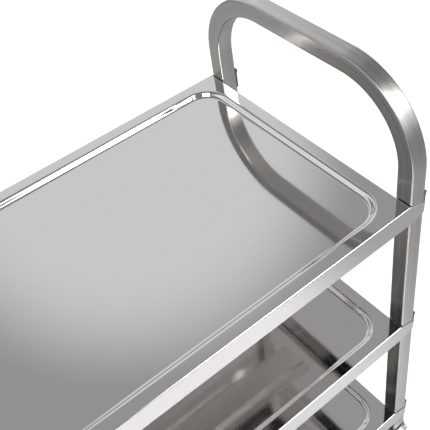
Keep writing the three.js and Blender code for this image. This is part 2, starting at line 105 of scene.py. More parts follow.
class Bench:
    """One mesh on the bench: started from a primitive and shaped by edit-mode operators."""

    def __init__(self, name: str, obj: bpy.types.Object) -> None:
        """Takes a freshly added primitive.

        Args:
            name: The name that the object and its mesh get.
            obj: The primitive, which is applied in place.
        """
        self.obj = obj
        obj.name = name
        obj.data.name = name
        bpy.ops.object.transform_apply(location=True, rotation=True, scale=True)

    @classmethod
    def block(cls, name: str, low: Point, high: Point) -> "Bench":
        """Starts from a cube between two corners.

        Args:
            name: The piece's name.
            low: Its lowest corner.
            high: Its highest corner.

        Returns:
            The block.
        """
        deselect_all()
        low, high = Vector(low), Vector(high)
        bpy.ops.mesh.primitive_cube_add(size=1.0, location=(low + high) / 2, scale=high - low)
        return cls(name, bpy.context.object)

    @classmethod
    def panel(cls, name: str, centre: Point, length: float, width: float) -> "Bench":
        """Starts from a level rectangle.

        Args:
            name: The piece's name.
            centre: The rectangle's middle.
            length: Its size along X.
            width: Its size along Y.

        Returns:
            One flat face.
        """
        deselect_all()
        bpy.ops.mesh.primitive_plane_add(size=1.0, location=centre)
        bpy.context.object.scale = (length, width, 1.0)
        return cls(name, bpy.context.object)

    @classmethod
    def outline(cls, name: str, points: Profile, y: float) -> "Bench":
        """Draws a flat outline at a height of Y, by extruding one corner after another.

        Args:
            name: The piece's name.
            points: The outline's corners as (x, z), in order.
            y: Where the outline stands along Y.

        Returns:
            One flat face.
        """
        deselect_all()
        (x, z), rest = points[0], points[1:]
        bpy.ops.mesh.primitive_plane_add(size=MM, location=(x, y, z))
        bench = cls(name, bpy.context.object)
        bench.edit()
        bpy.ops.mesh.select_all(action="SELECT")
        bpy.ops.mesh.merge(type="CENTER")
        for next_x, next_z in rest:
            step = {"value": (next_x - x, 0, next_z - z)}
            bpy.ops.mesh.extrude_vertices_move(TRANSFORM_OT_translate=step)
            x, z = next_x, next_z
        bpy.ops.mesh.select_all(action="SELECT")
        bpy.ops.mesh.edge_face_add()
        return bench

    @classmethod
    def bar(cls, name: str, points: Profile, width: float) -> "Bench":
        """A solid bar of an outline, centred across Y.

        Args:
            name: The piece's name.
            points: The outline's corners as (x, z), in order.
            width: The bar's size along Y.

        Returns:
            The solid bar.
        """
        bench = cls.outline(name, points, -width / 2)
        bench.extrude((0, width, 0))
        return bench.face_outwards().leave()

    @classmethod
    def ring(cls, name: str, radius: float, height: float, sides: int) -> "Bench":
        """Starts from an open circle round the Z axis.

        Args:
            name: The piece's name.
            radius: The circle's radius.
            height: Its height.
            sides: How many edges it has.

        Returns:
            The circle, with no face.
        """
        deselect_all()
        bpy.ops.mesh.primitive_circle_add(vertices=sides, radius=radius, location=(0, 0, height))
        return cls(name, bpy.context.object)

    @classmethod
    def turned(cls, name: str, profile: Profile, sides: int, closed: bool = False) -> "Bench":
        """Turns a profile about the Z axis by extruding and resizing a ring.

        Args:
            name: The piece's name.
            profile: Points of (radius, height), none of them on the axis.
            sides: Faces round the axis.
            closed: Whether the last ring joins the first, as on a tyre, in place of two flat ends.

        Returns:
            The turned solid.
        """
        bench = cls.ring(name, profile[0][0], profile[0][1], sides)
        bench.edit()
        bpy.ops.mesh.select_all(action="SELECT")
        for (before, low), (radius, height) in zip(profile, profile[1:]):
            bench.extrude((0, 0, height - low))
            bench.resize((radius / before, radius / before, 1), (0, 0, height))
        if closed:
            first, last = profile[0], profile[-1]
            bench.pick_edges(lambda e: e.is_boundary)
            if math.dist(first, last) < 1e-7:
                bpy.ops.mesh.remove_doubles(threshold=TOUCH)
            else:
                bpy.ops.mesh.bridge_edge_loops()
        else:
            bpy.ops.mesh.select_all(action="SELECT")
            bpy.ops.mesh.fill_holes(sides=0)
        return bench.face_outwards().leave()

    def edit(self) -> "Bench":
        """Enters edit mode on vertices, with nothing selected."""
        deselect_all()
        self.obj.select_set(True)
        bpy.context.view_layer.objects.active = self.obj
        bpy.ops.object.mode_set(mode="EDIT")
        bpy.ops.mesh.select_mode(type="VERT")
        bpy.ops.mesh.select_all(action="DESELECT")
        return self

    def leave(self) -> "Bench":
        """Goes back to object mode."""
        bpy.ops.object.mode_set(mode="OBJECT")
        return self

    def _pick(self, mode: str, kind: str, test: Callable[..., bool]) -> int:
        """Selects the parts of the mesh that pass a test.

        Args:
            mode: Blender's name for the select mode.
            kind: The mesh's list to go through: verts, edges or faces.
            test: Says whether one of them is wanted.

        Returns:
            How many are selected.
        """
        bpy.ops.mesh.select_all(action="DESELECT")
        bpy.ops.mesh.select_mode(type=mode)
        mesh = bmesh.from_edit_mesh(self.obj.data)
        picked = [item for item in getattr(mesh, kind) if test(item)]
        for item in picked:
            item.select_set(True)
        mesh.select_flush_mode()
        bmesh.update_edit_mesh(self.obj.data)
        return len(picked)

    def pick_faces(self, test: Callable[[bmesh.types.BMFace], bool]) -> int:
        """Selects the faces that pass a test, and says how many."""
        return self._pick("FACE", "faces", test)

    def pick_edges(self, test: Callable[[bmesh.types.BMEdge], bool]) -> int:
        """Selects the edges that pass a test, and says how many."""
        return self._pick("EDGE", "edges", test)

    def pick_verts(self, test: Callable[[bmesh.types.BMVert], bool]) -> int:
        """Selects the vertices that pass a test, and says how many."""
        return self._pick("VERT", "verts", test)

    def extrude(self, by: Point) -> "Bench":
        """Extrudes the selection by a vector."""
        bpy.ops.mesh.extrude_region_move(TRANSFORM_OT_translate={"value": tuple(by)})
        return self

    def resize(self, by: Point, about: Point) -> "Bench":
        """Resizes the selection about a point."""
        bpy.ops.transform.resize(value=tuple(by), center_override=tuple(about))
        return self

    def move(self, by: Point) -> "Bench":
        """Moves the selection."""
        bpy.ops.transform.translate(value=tuple(by))
        return self

    def inset(self, thickness: float, depth: float = 0.0) -> "Bench":
        """Insets the selected faces and moves them along their normal."""
        bpy.ops.mesh.inset(thickness=thickness, depth=depth, use_even_offset=True)
        return self

    def round_edges(self, radius: float, segments: int) -> "Bench":
        """Bevels the selected edges."""
        bpy.ops.mesh.bevel(offset=radius, segments=segments, affect="EDGES", clamp_overlap=True)
        return self

    def round_corners(self, radius: float, segments: int) -> "Bench":
        """Bevels the selected corners of a flat outline."""
        bpy.ops.mesh.bevel(
            offset=radius * math.tan(math.pi / 4), segments=segments, affect="VERTICES", clamp_overlap=True
        )
        return self

    def face_outwards(self) -> "Bench":
        """Merges doubles and turns every normal outwards."""
        bpy.ops.mesh.select_all(action="SELECT")
        bpy.ops.mesh.remove_doubles(threshold=TOUCH)
        bpy.ops.mesh.normals_make_consistent(inside=False)
        return self

    def apply(self, kind: str, **values: object) -> "Bench":
        """Adds a modifier, sets its values and applies it.

        Args:
            kind: The modifier's type.
            **values: Its settings.

        Returns:
            This piece.
        """
        deselect_all()
        self.obj.select_set(True)
        bpy.context.view_layer.objects.active = self.obj
        modifier = self.obj.modifiers.new(kind, kind)
        for name, value in values.items():
            setattr(modifier, name, value)
        bpy.ops.object.modifier_apply(modifier=modifier.name)
        return self

    def thicken(self, sheet: float) -> "Bench":
        """Gives a shell its thickness inwards, its inner side in the second finish where it has one.

        Args:
            sheet: The thickness.

        Returns:
            This piece.
        """
        self.obj.data.materials.clear()
        for _ in range(2):
            self.obj.data.materials.append(None)
        return self.apply("SOLIDIFY", thickness=sheet, offset=-1.0, use_even_offset=True, material_offset=1)

    def soften(self, radius: float, segments: int = 2, angle: float = 30.0) -> "Bench":
        """Rounds every edge sharper than an angle in degrees."""
        return self.apply(
            "BEVEL",
            width=radius,
            segments=segments,
            limit_method="ANGLE",
            angle_limit=math.radians(angle),
            harden_normals=False,
        )

    def smooth(self, angle: float = 35.0) -> "Bench":
        """Smooths the shading below an angle and keeps the flat faces flat.

        Args:
            angle: The sharpest angle that is smoothed, in degrees.

        Returns:
            This piece.
        """
        deselect_all()
        self.obj.select_set(True)
        bpy.context.view_layer.objects.active = self.obj
        bpy.ops.object.shade_smooth_by_angle(angle=math.radians(angle))
        return self.apply("WEIGHTED_NORMAL", keep_sharp=True, weight=50)

    def cut(self, tool: "Bench") -> "Bench":
        """Cuts another piece out of this one and removes it.

        Args:
            tool: The piece to cut with.

        Returns:
            This piece.
        """
        self.apply("BOOLEAN", operation="DIFFERENCE", solver="EXACT", object=tool.obj)
        bpy.data.objects.remove(tool.obj)
        return self

    def add(self, *others: "Bench") -> "Bench":
        """Joins other bench pieces into this one."""
        deselect_all()
        for other in others:
            other.obj.select_set(True)
        self.obj.select_set(True)
        bpy.context.view_layer.objects.active = self.obj
        bpy.ops.object.join()
        return self

    def moved(self, matrix: Matrix) -> "Bench":
        """Moves the mesh itself, so that its object stays at the origin.

        Args:
            matrix: Where to; it may mirror.

        Returns:
            This piece.
        """
        self.obj.data.transform(matrix)
        if matrix.determinant() < 0:
            self.obj.data.flip_normals()
        return self

    def copy(self, name: str, matrix: Matrix) -> "Bench":
        """A copy with its own mesh.

        Args:
            name: The copy's name.
            matrix: Where it goes; it may mirror.

        Returns:
            The copy.
        """
        twin = object.__new__(Bench)
        twin.obj = self.obj.copy()
        twin.obj.data = self.obj.data.copy()
        twin.obj.name = name
        twin.obj.data.name = name
        bpy.context.scene.collection.objects.link(twin.obj)
        return twin.moved(matrix)

    def scrap(self) -> None:
        """Removes a master whose copies are in place."""
        bpy.data.objects.remove(self.obj)


def across(x: float = 0.0, z: float = 0.0) -> Matrix:
    """Lays a piece turned about Z along the Y axis, at a place in the X-Z plane."""
    return Matrix.Translation((x, 0, z)) @ Matrix.Rotation(math.pi / 2, 4, "X")


def lengthwise(x: float = 0.0) -> Matrix:
    """Lays a piece turned about Z along the X axis, its top towards +X."""
    return Matrix.Translation((x, 0, 0)) @ Matrix.Rotation(math.pi / 2, 4, "Y")


# ---- finishes ----


class Graph:
    """A short way to wire shader nodes."""

    def __init__(self, tree: bpy.types.NodeTree) -> None:
        """Wraps a node tree."""
        self.tree = tree

    def add(
        self, kind: str, inputs: dict[str | int, object] | None = None, **values: object
    ) -> bpy.types.Node:
        """Adds a node, sets its properties, and sets or links its inputs.

        Args:
            kind: The node's type name without "ShaderNode".
            inputs: Socket name or number to a value, or to an output socket to link.
            **values: Properties of the node itself.

        Returns:
            The new node.
        """
        node = self.tree.nodes.new("ShaderNode" + kind)
        for name, value in values.items():
            setattr(node, name, value)
        for socket, value in (inputs or {}).items():
            if isinstance(value, bpy.types.NodeSocket):
                self.tree.links.new(value, node.inputs[socket])
            else:
                node.inputs[socket].default_value = value
        return node

    def math(self, operation: str, *values: object) -> bpy.types.NodeSocket:
        """A math node on two or three values or sockets."""
        node = self.add("Math", dict(enumerate(values)), operation=operation)
        return node.outputs[0]

    def spread(self, value: bpy.types.NodeSocket, low: float, high: float) -> bpy.types.NodeSocket:
        """Maps a mask of 0 to 1 onto a range."""
        node = self.add("MapRange", {"Value": value, "To Min": low, "To Max": high})
        return node.outputs["Result"]

    def step(self, value: bpy.types.NodeSocket, reach: tuple[float, float]) -> bpy.types.NodeSocket:
        """A smooth step from 0 to 1 across a range."""
        inputs = {"Value": value, "From Min": reach[0], "From Max": reach[1]}
        return self.add("MapRange", inputs, interpolation_type="SMOOTHSTEP").outputs["Result"]

    def noise(self, vector: object, scale: float, detail: float, rough: float = 0.5) -> bpy.types.NodeSocket:
        """The value of a noise texture."""
        inputs = {"Vector": vector, "Scale": scale, "Detail": detail, "Roughness": rough}
        return self.add("TexNoise", inputs).outputs[0]

    def blend(self, factor: object, first: object, second: object) -> bpy.types.NodeSocket:
        """Mixes two colours.

        Args:
            factor: How much of the second, from 0 to 1.
            first: A colour or a socket.
            second: Another one.

        Returns:
            The mixed colour.
        """
        node = self.add("Mix", data_type="RGBA")
        for socket, value in ((node.inputs[0], factor), (node.inputs[6], first), (node.inputs[7], second)):
            if isinstance(value, bpy.types.NodeSocket):
                self.tree.links.new(value, socket)
            else:
                socket.default_value = value
        return node.outputs[2]


class Effects:
    """Shader node groups that several finishes use, each made once."""

    _made: dict[str, bpy.types.NodeTree] = {}

    @classmethod
    def _group(
        cls, name: str, build: Callable[[Graph, bpy.types.Node], dict[str, bpy.types.NodeSocket]],
        inputs: Iterable[str],
    ) -> bpy.types.NodeTree:
        """Makes a node group once.

        Args:
            name: The group's name.
            build: Wires the group from its input node, and gives its outputs by name.
            inputs: Names of its number inputs, beside the Vector that every group has.

        Returns:
            The group.
        """
        if name in cls._made:
            return cls._made[name]
        tree = bpy.data.node_groups.new(name, "ShaderNodeTree")
        tree.interface.new_socket("Vector", in_out="INPUT", socket_type="NodeSocketVector")
        for socket in inputs:
            tree.interface.new_socket(socket, in_out="INPUT", socket_type="NodeSocketFloat")
        entry = tree.nodes.new("NodeGroupInput")
        results = build(Graph(tree), entry)
        for socket in results:
            tree.interface.new_socket(socket, in_out="OUTPUT", socket_type="NodeSocketFloat")
        leaving = tree.nodes.new("NodeGroupOutput")
        for socket, value in results.items():
            tree.links.new(value, leaving.inputs[socket])
        cls._made[name] = tree
        return tree

    @classmethod
    def grain(cls) -> bpy.types.NodeTree:
        """Fine brush marks: Streak, a mask of 0 to 1, on a vector stretched along the marks."""

        def build(graph: Graph, entry: bpy.types.Node) -> dict[str, bpy.types.NodeSocket]:
            """Mixes fine and broad marks.

            Args:
                graph: Wires the group.
                entry: The group's inputs.

            Returns:
                The group's outputs by name.
            """
            fine = graph.noise(entry.outputs["Vector"], 1.0, 3.0, 0.6)
            broad = graph.noise(entry.outputs["Vector"], 0.23, 2.0)
            both = graph.math("MULTIPLY_ADD", fine, 0.6, graph.math("MULTIPLY", broad, 0.4))
            return {"Streak": graph.spread(both, -0.7, 1.7)}

        return cls._group("Brush grain", build, ())

    @classmethod
    def handling(cls) -> bpy.types.NodeTree:
        """Soft patches left by wiping and hands: Smudge, a mask of 0 to 1."""

        def build(graph: Graph, entry: bpy.types.Node) -> dict[str, bpy.types.NodeSocket]:
            """Spreads noise into soft-edged patches.

            Args:
                graph: Wires the group.
                entry: The group's inputs.

            Returns:
                The group's outputs by name.
            """
            size = entry.outputs["Size"]
            scale = graph.math("DIVIDE", 1.0, size)
            node = graph.add("TexNoise", {"Vector": entry.outputs["Vector"], "Scale": scale, "Detail": 4.0})
            ramp = graph.add("MapRange", {"Value": node.outputs[0], "From Min": 0.38, "From Max": 0.66})
            return {"Smudge": ramp.outputs["Result"]}

        return cls._group("Handling", build, ("Size",))

    @classmethod
    def dust(cls) -> bpy.types.NodeTree:
        """Kitchen dust: Dust, a mask that is thicker low down and in patches."""

        def build(graph: Graph, entry: bpy.types.Node) -> dict[str, bpy.types.NodeSocket]:
            """Thins the patches with height.

            Args:
                graph: Wires the group.
                entry: The group's inputs.

            Returns:
                The group's outputs by name.
            """
            height = graph.add("SeparateXYZ", {0: entry.outputs["Vector"]}).outputs[2]
            low = graph.math("SUBTRACT", 1.0, graph.math("DIVIDE", height, entry.outputs["Reach"]))
            clipped = graph.math("MAXIMUM", low, 0.0)
            patch = graph.noise(entry.outputs["Vector"], 55.0, 5.0, 0.65)
            ramp = graph.add("MapRange", {"Value": patch, "From Min": 0.35, "From Max": 0.75})
            return {"Dust": graph.math("MULTIPLY", clipped, ramp.outputs["Result"])}

        return cls._group("Dust", build, ("Reach",))

    @classmethod
    def painted_edge_shade(cls) -> bpy.types.NodeTree:
        """The edge of a stamping that stands across X, darkened as painted shade: Edge, a mask of 0 to 1."""

        def build(graph: Graph, entry: bpy.types.Node) -> dict[str, bpy.types.NodeSocket]:
            """Picks the faces that stand across X.

            Args:
                graph: Wires the group.
                entry: The group's inputs.

            Returns:
                The group's outputs by name.
            """
            # Painted shade: the faces that stand across X are masked for darkening, and noise breaks the mask
            # up.
            normal = graph.add("TexCoord").outputs["Normal"]
            facing = graph.add("SeparateXYZ", {0: normal}).outputs[0]
            flat = graph.math("ABSOLUTE", facing)
            edge = graph.math("SUBTRACT", 1.0, graph.step(flat, (0.45, 0.75)))
            shade_patches = graph.noise(entry.outputs["Vector"], 900.0, 3.0)
            return {"Edge": graph.math("MULTIPLY", edge, graph.spread(shade_patches, 0.7, 1.1))}

        return cls._group("Painted edge shade", build, ())

    @classmethod
    def pimples(cls) -> bpy.types.NodeTree:
        """The fine skin of moulded plastic and rubber: Height."""

        def build(graph: Graph, entry: bpy.types.Node) -> dict[str, bpy.types.NodeSocket]:
            """Takes one fine noise.

            Args:
                graph: Wires the group.
                entry: The group's inputs.

            Returns:
                The group's outputs by name.
            """
            inputs = {name: entry.outputs[name] for name in ("Vector", "Scale")}
            return {"Height": graph.add("TexNoise", inputs).outputs[0]}

        return cls._group("Moulded skin", build, ("Scale",))


def new_material(name: str) -> tuple[bpy.types.Material, Graph, bpy.types.Node, bpy.types.NodeSocket]:
    """A material with its Principled shader and object coordinates.

    Args:
        name: The material's name.

    Returns:
        The material, its graph, the Principled node, and the object coordinates.
    """
    material = bpy.data.materials.new(name)
    material.use_nodes = True
    graph = Graph(material.node_tree)
    shader = next(n for n in material.node_tree.nodes if n.type == "BSDF_PRINCIPLED")
    where = graph.add("TexCoord").outputs["Object"]
    return material, graph, shader, where


@dataclass(frozen=True)
class SteelFinish:
    """Bare stainless or plated steel, with brush marks, wipe marks and slight waves in the sheet."""

    name: str
    colour: tuple[float, float, float]
    roughness: float
    roughness_spread: float = 0.08
    grain: Grain = Grain.NONE
    grain_depth: float = 0.004 * MM
    grain_contrast: float = 0.05
    wave_depth: float = 0.0
    wave_size: float = 0.16
    smudge_size: float = 0.09
    smudge_roughness: float = 0.05
    # How far the edges are darkened as painted shade.
    edge_shade_amount: float = 0.0

    def material(self) -> bpy.types.Material:
        """Builds the material."""
        material, graph, shader, where = new_material(self.name)
        links = graph.tree.links
        if self.grain is Grain.ALONG_UV:
            base = graph.add("UVMap", uv_map=TUBE_MAP).outputs[0]
        else:
            base = where
        stretched = graph.add("Mapping", {"Vector": base, "Scale": self.grain.value}).outputs[0]
        grain = graph.add("Group", node_tree=Effects.grain())
        links.new(stretched, grain.inputs["Vector"])
        streak = grain.outputs["Streak"]
        handling = graph.add("Group", node_tree=Effects.handling())
        links.new(where, handling.inputs["Vector"])
        handling.inputs["Size"].default_value = self.smudge_size
        smudge = handling.outputs["Smudge"]

        dark = tuple(c * (1 - self.grain_contrast) for c in self.colour) + (1.0,)
        light = tuple(min(c * (1 + self.grain_contrast), 1.0) for c in self.colour) + (1.0,)
        colour = graph.blend(streak, dark, light)
        low = self.roughness - self.roughness_spread / 2
        rough = graph.spread(streak, low, low + self.roughness_spread)
        rough = graph.math("MULTIPLY_ADD", smudge, self.smudge_roughness, rough)
        # Painted shade: the edges go near black, standing in for the shadow along the plate's edge and in its
        # gap to the leg; the added roughness is the cut edge's own.
        if self.edge_shade_amount:
            edge = graph.add("Group", node_tree=Effects.painted_edge_shade())
            links.new(where, edge.inputs["Vector"])
            mask = graph.math("MULTIPLY", edge.outputs["Edge"], self.edge_shade_amount)
            colour = graph.blend(mask, colour, (0.09, 0.085, 0.08, 1.0))
            rough = graph.math("MULTIPLY_ADD", mask, 0.3, rough)
        links.new(colour, shader.inputs["Base Color"])
        links.new(rough, shader.inputs["Roughness"])
        shader.inputs["Metallic"].default_value = 1.0

        bump = graph.add("Bump", {"Height": streak, "Distance": self.grain_depth, "Strength": 1.0})
        if self.wave_depth:
            waves = graph.noise(where, 1.0 / self.wave_size, 1.0)
            broad = graph.add("Bump", {"Height": waves, "Distance": self.wave_depth, "Strength": 1.0})
            links.new(broad.outputs[0], bump.inputs["Normal"])
        links.new(bump.outputs[0], shader.inputs["Normal"])
        return material


@dataclass(frozen=True)
class MouldedFinish:
    """Moulded plastic or rubber, with a fine skin, slight mottling and dust low down."""

    name: str
    colour: tuple[float, float, float]
    roughness: float
    skin_scale: float = 900.0
    skin_depth: float = 0.05 * MM
    dust_reach: float = 0.12
    dust_amount: float = 0.25
    dust_colour: tuple[float, float, float] = (0.42, 0.39, 0.35)

    def material(self) -> bpy.types.Material:
        """Builds the material."""
        material, graph, shader, where = new_material(self.name)
        links = graph.tree.links
        mottle = graph.noise(where, 140.0, 4.0)
        dark = tuple(c * 0.85 for c in self.colour) + (1.0,)
        light = tuple(c * 1.2 for c in self.colour) + (1.0,)
        body = graph.blend(mottle, dark, light)
        dust = graph.add("Group", node_tree=Effects.dust())
        links.new(where, dust.inputs["Vector"])
        dust.inputs["Reach"].default_value = self.dust_reach
        mask = graph.math("MULTIPLY", dust.outputs["Dust"], self.dust_amount)
        links.new(graph.blend(mask, body, self.dust_colour + (1.0,)), shader.inputs["Base Color"])
        links.new(graph.math("MULTIPLY_ADD", mask, 0.5, self.roughness), shader.inputs["Roughness"])
        skin = graph.add("Group", node_tree=Effects.pimples())
        links.new(where, skin.inputs["Vector"])
        skin.inputs["Scale"].default_value = self.skin_scale
        bump = graph.add("Bump", {"Height": skin.outputs["Height"], "Distance": self.skin_depth})
        links.new(bump.outputs[0], shader.inputs["Normal"])
        return material


@dataclass(frozen=True)
class Finishes:
    """Every finish on the trolley."""

    tube: SteelFinish = SteelFinish(
        "Satin tube steel", (0.60, 0.59, 0.57), 0.21, grain=Grain.ALONG_UV, grain_contrast=0.12,
        grain_depth=0.006 * MM, wave_depth=0.05 * MM, wave_size=0.05,
    )
    tray: SteelFinish = SteelFinish(
        "Bright tray steel", (0.76, 0.745, 0.73), 0.05, 0.02, Grain.ALONG_X, 0.0002 * MM, 0.012,
        wave_depth=0.3 * MM, wave_size=0.25, smudge_size=0.14, smudge_roughness=0.025,
    )
    # Painted light: the underside's base colour is set brighter than the top's, to lift the shade under each
    # tray; its higher roughness is the duller underside.
    underside: SteelFinish = SteelFinish(
        "Dull tray underside", (0.80, 0.79, 0.77), 0.26, 0.06, Grain.ALONG_X, 0.001 * MM, 0.02,
        smudge_size=0.14,
    )
    # Its edges carry painted shade.
    stamping: SteelFinish = SteelFinish(
        "Mill finish steel", (0.60, 0.59, 0.57), 0.30, grain=Grain.ALONG_Z, grain_contrast=0.05, edge_shade_amount=0.9,
    )
    # Painted light: the stiffener's base colour is raised to lift the shade it sits in under the tray.
    strip: SteelFinish = SteelFinish(
        "Folded strip steel", (0.72, 0.71, 0.69), 0.28, grain=Grain.ALONG_X, grain_contrast=0.04,
    )
    screw: SteelFinish = SteelFinish("Turned screw steel", (0.66, 0.66, 0.65), 0.20, smudge_size=0.01)
    zinc: SteelFinish = SteelFinish(
        "Bright zinc plate", (0.62, 0.64, 0.66), 0.27, 0.04, grain_depth=0.0003 * MM, grain_contrast=0.02,
        smudge_size=0.03, smudge_roughness=0.05,
    )
    nylon: MouldedFinish = MouldedFinish("Black nylon", (0.018, 0.018, 0.020), 0.48, dust_amount=0.1)
    hub: MouldedFinish = MouldedFinish("Grey polypropylene", (0.17, 0.175, 0.18), 0.42)
    rubber: MouldedFinish = MouldedFinish(
        "Grey rubber", (0.040, 0.041, 0.043), 0.62, skin_scale=1400.0, dust_amount=0.4
    )


class Workshop:
    """Makes each finish's material once, and hands finished pieces to the frame."""

    def __init__(self) -> None:
        """Starts with no material made."""
        self._materials: dict[str, bpy.types.Material] = {}

    def deliver(
        self, piece: Bench, finish: SteelFinish | MouldedFinish, body: str, slot: str, *nodes: str,
        under: SteelFinish | None = None,
    ) -> None:
        """Dresses a piece and hands it over.

        Args:
            piece: The finished piece, in its place.
            finish: What it is made of.
            body: The body that it moves with.
            slot: The record's material slot; not used.
            *nodes: The CAD nodes that it stands for.
            under: The finish of a sheet's inner side, where it is another one.
        """
        piece.obj.data.materials.clear()
        for layer in (finish, under) if under else (finish,):
            if layer.name not in self._materials:
                self._materials[layer.name] = layer.material()
            piece.obj.data.materials.append(self._materials[layer.name])
        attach(piece.obj, body)
        if nodes:
            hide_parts(*nodes)
        faces = len(piece.obj.data.polygons)
        LOG.info("%s: %d faces on %s, for %s", piece.obj.name, faces, body, ", ".join(nodes) or "no CAD node")


# ---- the end frames ----


@dataclass
class EndFrame:
    """A square tube bent into a handle with both of its legs."""

    tube: float = TUBE
    wall: float = TUBE_WALL
    corner: float = TUBE_CORNER
    leg_x: float = LEG_X
    leg_y: float = LEG_Y
    foot: float = FOOT
    bend_radius: float = 108.8 * MM
    top: float = 855 * MM
    bend_steps: int = 32
    corner_steps: int = 4

    @property
    def bend_z(self) -> float:
        """Height at which the legs begin to bend."""
        return self.top - self.tube / 2 - self.bend_radius

    @property
    def bend_y(self) -> float:
        """How far the centres of the bends are from the middle."""
        return self.leg_y - self.bend_radius

    def bent_tube(self) -> Bench:
        """Bends the tube from one foot over the handle to the other."""
        frame_tube = Bench.panel("end_frame", (0, -self.leg_y, self.foot), self.tube, self.tube)
        frame_tube.edit()
        bpy.ops.mesh.select_all(action="SELECT")
        frame_tube.round_corners(self.corner, self.corner_steps)
        bpy.ops.mesh.select_all(action="SELECT")
        frame_tube.extrude((0, 0, self.bend_z - self.foot))
        self._bend((0, -self.bend_y, self.bend_z))
        frame_tube.extrude((0, 2 * self.bend_y, 0))
        self._bend((0, self.bend_y, self.bend_z))
        frame_tube.extrude((0, 0, self.foot - self.bend_z))
        frame_tube.face_outwards()
        frame_tube.pick_faces(lambda face: abs(face.calc_center_median().z - self.foot) < TOUCH)
        bpy.ops.mesh.delete(type="FACE")
        frame_tube.leave()
        self._map_along(frame_tube)
        return frame_tube.thicken(self.wall).smooth()

    def _bend(self, centre: Point) -> None:
        """Sweeps the open end through a quarter turn."""
        bpy.ops.mesh.spin(steps=self.bend_steps, angle=math.pi / 2, center=centre, axis=(1, 0, 0))

    def _map_along(self, piece: Bench) -> None:
        """Gives the tube a UV map that runs along it and round it, in metres.

        Args:
            piece: The bent tube.
        """
        mesh = piece.obj.data
        layer = mesh.uv_layers.get(TUBE_MAP) or mesh.uv_layers.new(name=TUBE_MAP)
        mesh.uv_layers.active = layer
        bend = self.bend_radius * math.pi / 2
        straight = self.bend_z - self.foot
        half_length = straight + bend + self.bend_y
        for face in mesh.polygons:
            centre = self._section(face.center)[1]
            for loop in face.loop_indices:
                along, turn = self._section(mesh.vertices[mesh.loops[loop].vertex_index].co)
                while turn - centre > math.pi:
                    turn -= 2 * math.pi
                while centre - turn > math.pi:
                    turn += 2 * math.pi
                layer.data[loop].uv = (half_length + along, turn * self.tube / 2)

    def _section(self, place: Vector) -> tuple[float, float]:
        """Distance along the tube from the middle of its handle, and the angle round it.

        Args:
            place: A point on the tube's surface.

        Returns:
            The distance and the angle.
        """
        side = 1 if place.y >= 0 else -1
        y = abs(place.y)
        if y <= self.bend_y:
            along, rise = y, place.z - (self.top - self.tube / 2)
        elif place.z <= self.bend_z:
            along = self.bend_y + self.bend_radius * math.pi / 2 + self.bend_z - place.z
            rise = y - self.leg_y
        else:
            angle = math.atan2(place.z - self.bend_z, y - self.bend_y)
            along = self.bend_y + (math.pi / 2 - angle) * self.bend_radius
            rise = math.hypot(place.z - self.bend_z, y - self.bend_y) - self.bend_radius
        return side * along, math.atan2(place.x, rise)

    def build(self, shop: Workshop, finishes: Finishes) -> None:
        """Bends one frame and sets a copy at each end.

        Args:
            shop: Dresses each piece and hands it over.
            finishes: What the pieces are made of.
        """
        master = self.bent_tube()
        for end in End:
            name = end.name.lower()
            place = Matrix.Translation((end.value * self.leg_x, 0, 0))
            piece = master.copy(f"bent_frame.{name}", place)
            shop.deliver(piece, finishes.tube, "root", "frame_tube", f"{name}_end_frame")
        master.scrap()


# ---- the trays ----


